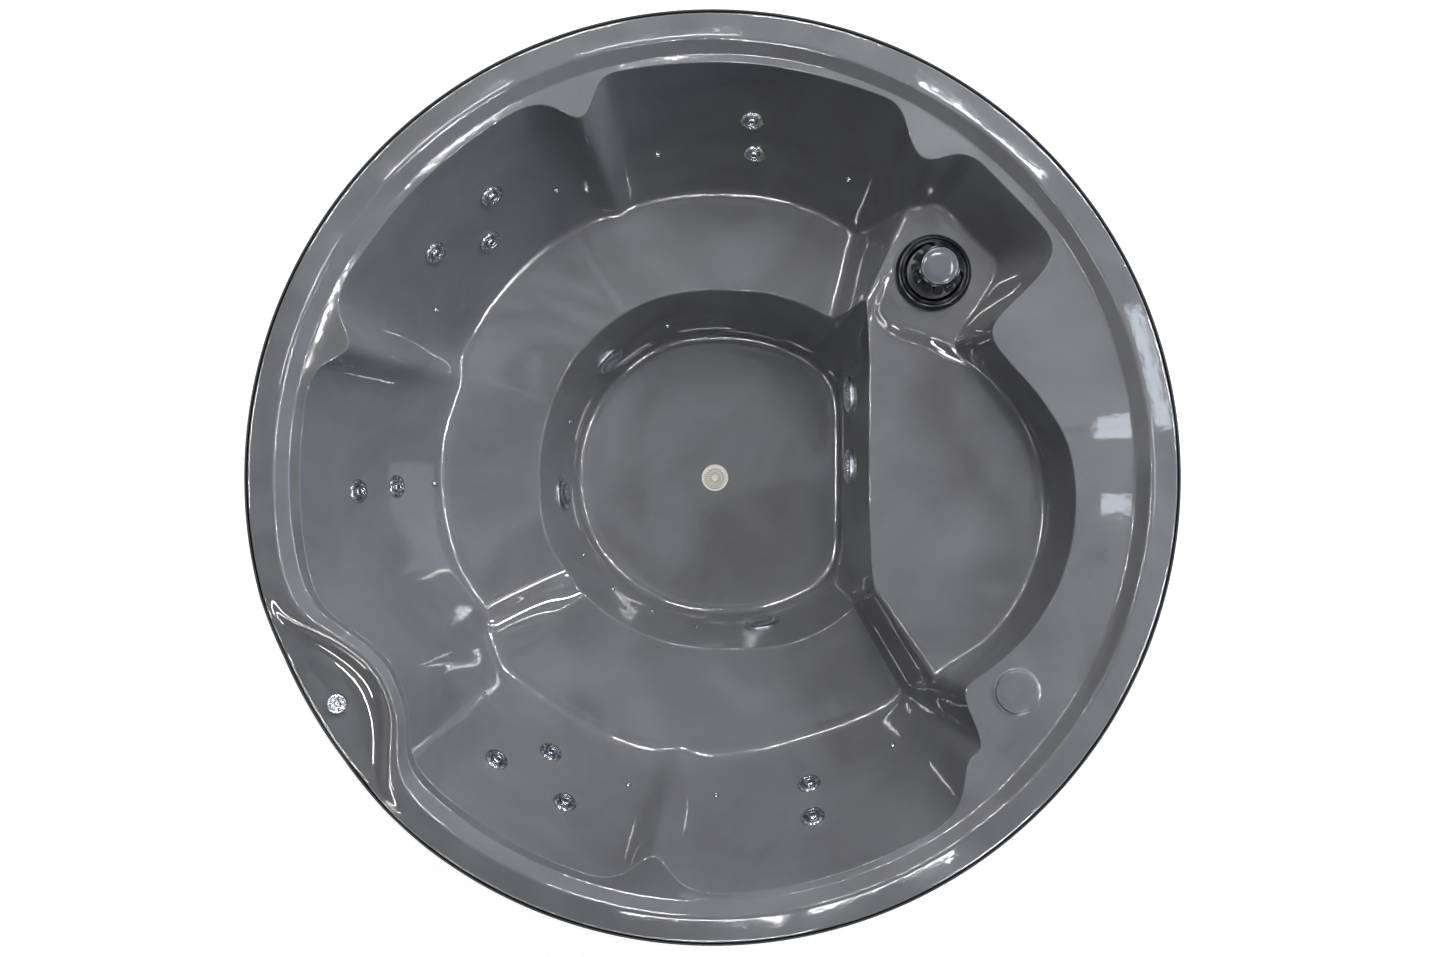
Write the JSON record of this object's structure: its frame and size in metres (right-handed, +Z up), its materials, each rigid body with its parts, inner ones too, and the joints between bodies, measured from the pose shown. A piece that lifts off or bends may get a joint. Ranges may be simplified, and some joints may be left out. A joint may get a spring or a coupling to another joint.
{
  "type": "hot tub",
  "caption": "Round barrel-cabinet hot tub with moulded bench seats, a footwell, a cool-down step, turning jets, a lift-out filter and an air control knob.",
  "frame": {"origin": "middle of the underside of the base plate", "axes": "+Z up, +X towards the side with the cool-down step and the equipment hatch, +Y towards the seat at the top of the plan view, front is -Y"},
  "size_m": [1.9812, 1.9812, 0.89],
  "materials": {
    "acrylic_shell": "high gloss",
    "edge_trim": "satin",
    "cabinet_wood": "oiled",
    "band_steel": "brushed",
    "frame_wood": "sawn",
    "base_plastic": "matte",
    "chrome": "polished",
    "cover_steel": "satin",
    "grey_plastic": "matte",
    "motor_paint": "satin",
    "pipe_plastic": "satin",
    "filter_paper": "pleated",
    "black_plastic": "gloss"
  },
  "bodies": {
    "tub": {"shell": "acrylic_shell", "edge_trim": "edge_trim", "base_pan": "base_plastic", "frame": "frame_wood", "skirt_panel_right": "cabinet_wood", "skirt_panel_back": "cabinet_wood", "skirt_panel_front": "cabinet_wood", "band_lower": "band_steel", "band_upper": "band_steel", "jet_body_1": "grey_plastic", "jet_body_2": "grey_plastic", "jet_body_3": "grey_plastic", "jet_body_4": "grey_plastic", "jet_body_5": "grey_plastic", "jet_body_6": "grey_plastic", "jet_body_7": "grey_plastic", "jet_body_8": "grey_plastic", "jet_body_9": "grey_plastic", "jet_body_10": "grey_plastic", "jet_body_11": "grey_plastic", "jet_body_12": "grey_plastic", "suction_cover_1": "cover_steel", "suction_cover_2": "cover_steel", "suction_cover_3": "cover_steel", "suction_cover_4": "cover_steel", "suction_cover_5": "cover_steel", "floor_drain": "cover_steel", "air_injector_1": "chrome", "air_injector_2": "chrome", "air_injector_3": "chrome", "air_injector_4": "chrome", "air_injector_5": "chrome", "air_injector_6": "chrome", "air_injector_7": "chrome", "air_injector_8": "chrome", "air_injector_9": "chrome", "filter_bucket": "black_plastic", "filter_collar": "black_plastic", "air_control_body": "grey_plastic", "pump_wet_end": "black_plastic", "pump_motor": "motor_paint", "control_pack": "grey_plastic", "suction_pipe": "pipe_plastic", "pressure_pipe": "pipe_plastic"},
    "jet_face_1": {"jet_face_1": "chrome"},
    "jet_face_2": {"jet_face_2": "chrome"},
    "jet_face_3": {"jet_face_3": "chrome"},
    "jet_face_4": {"jet_face_4": "chrome"},
    "jet_face_5": {"jet_face_5": "chrome"},
    "jet_face_6": {"jet_face_6": "chrome"},
    "jet_face_7": {"jet_face_7": "chrome"},
    "jet_face_8": {"jet_face_8": "chrome"},
    "jet_face_9": {"jet_face_9": "chrome"},
    "jet_face_10": {"jet_face_10": "chrome"},
    "jet_face_11": {"jet_face_11": "chrome"},
    "jet_face_12": {"jet_face_12": "chrome"},
    "air_control_knob": {"air_control_knob": "chrome"},
    "filter_cartridge": {"filter_cartridge": "filter_paper"},
    "filter_cap": {"filter_cap": "black_plastic"},
    "access_door": {"access_door": "cabinet_wood"}
  },
  "joints": [
    {"name": "jet_turn_1", "type": "hinge", "parent": "tub", "child": "jet_face_1", "pos_m": [-0.50563, 0.64223, 0.68931], "axis": [0.577, -0.7305, 0.3654], "range_deg": [0, 90]},
    {"name": "jet_turn_2", "type": "hinge", "parent": "tub", "child": "jet_face_2", "pos_m": [-0.63515, 0.51383, 0.6837], "axis": [0.7187, -0.5968, 0.3568], "range_deg": [0, 90]},
    {"name": "jet_turn_3", "type": "hinge", "parent": "tub", "child": "jet_face_3", "pos_m": [-0.53093, 0.56109, 0.57595], "axis": [0.6316, -0.6858, 0.3616], "range_deg": [0, 90]},
    {"name": "jet_turn_4", "type": "hinge", "parent": "tub", "child": "jet_face_4", "pos_m": [0.08898, 0.81311, 0.69234], "axis": [-0.0967, -0.9227, 0.3733], "range_deg": [0, 90]},
    {"name": "jet_turn_5", "type": "hinge", "parent": "tub", "child": "jet_face_5", "pos_m": [0.09796, 0.76754, 0.58417], "axis": [-0.1105, -0.9212, 0.373], "range_deg": [0, 90]},
    {"name": "jet_turn_6", "type": "hinge", "parent": "tub", "child": "jet_face_6", "pos_m": [-0.81029, -0.03129, 0.68655], "axis": [0.9286, 0.0341, 0.3694], "range_deg": [0, 90]},
    {"name": "jet_turn_7", "type": "hinge", "parent": "tub", "child": "jet_face_7", "pos_m": [-0.7584, -0.02141, 0.55681], "axis": [0.9288, 0.031, 0.3692], "range_deg": [0, 90]},
    {"name": "jet_turn_8", "type": "hinge", "parent": "tub", "child": "jet_face_8", "pos_m": [-0.38814, -0.65412, 0.56923], "axis": [0.4664, 0.7917, 0.3945], "range_deg": [0, 90]},
    {"name": "jet_turn_9", "type": "hinge", "parent": "tub", "child": "jet_face_9", "pos_m": [-0.49468, -0.64355, 0.68738], "axis": [0.5564, 0.7338, 0.3899], "range_deg": [0, 90]},
    {"name": "jet_turn_10", "type": "hinge", "parent": "tub", "child": "jet_face_10", "pos_m": [-0.33833, -0.73992, 0.69224], "axis": [0.3814, 0.8354, 0.3959], "range_deg": [0, 90]},
    {"name": "jet_turn_11", "type": "hinge", "parent": "tub", "child": "jet_face_11", "pos_m": [0.22632, -0.72538, 0.58383], "axis": [-0.2678, 0.8709, 0.4122], "range_deg": [0, 90]},
    {"name": "jet_turn_12", "type": "hinge", "parent": "tub", "child": "jet_face_12", "pos_m": [0.22735, -0.77365, 0.68724], "axis": [-0.2608, 0.873, 0.4122], "range_deg": [0, 90]},
    {"name": "air_knob_turn", "type": "hinge", "parent": "tub", "child": "air_control_knob", "pos_m": [-0.795, -0.4785, 0.868], "axis": [0, 0, 1], "range_deg": [0, 180]},
    {"name": "cartridge_lift", "type": "slide", "parent": "tub", "child": "filter_cartridge", "axis": [0, 0, 1], "range_m": [0, 0.42]},
    {"name": "cap_turn", "type": "hinge", "parent": "filter_cartridge", "child": "filter_cap", "pos_m": [0.4984, 0.4649, 0.7], "axis": [0, 0, 1], "range_deg": [0, 90]},
    {"name": "hatch_lift_off", "type": "slide", "parent": "tub", "child": "access_door", "axis": [1, 0, 0], "range_m": [0, 0.25]}
  ]
}
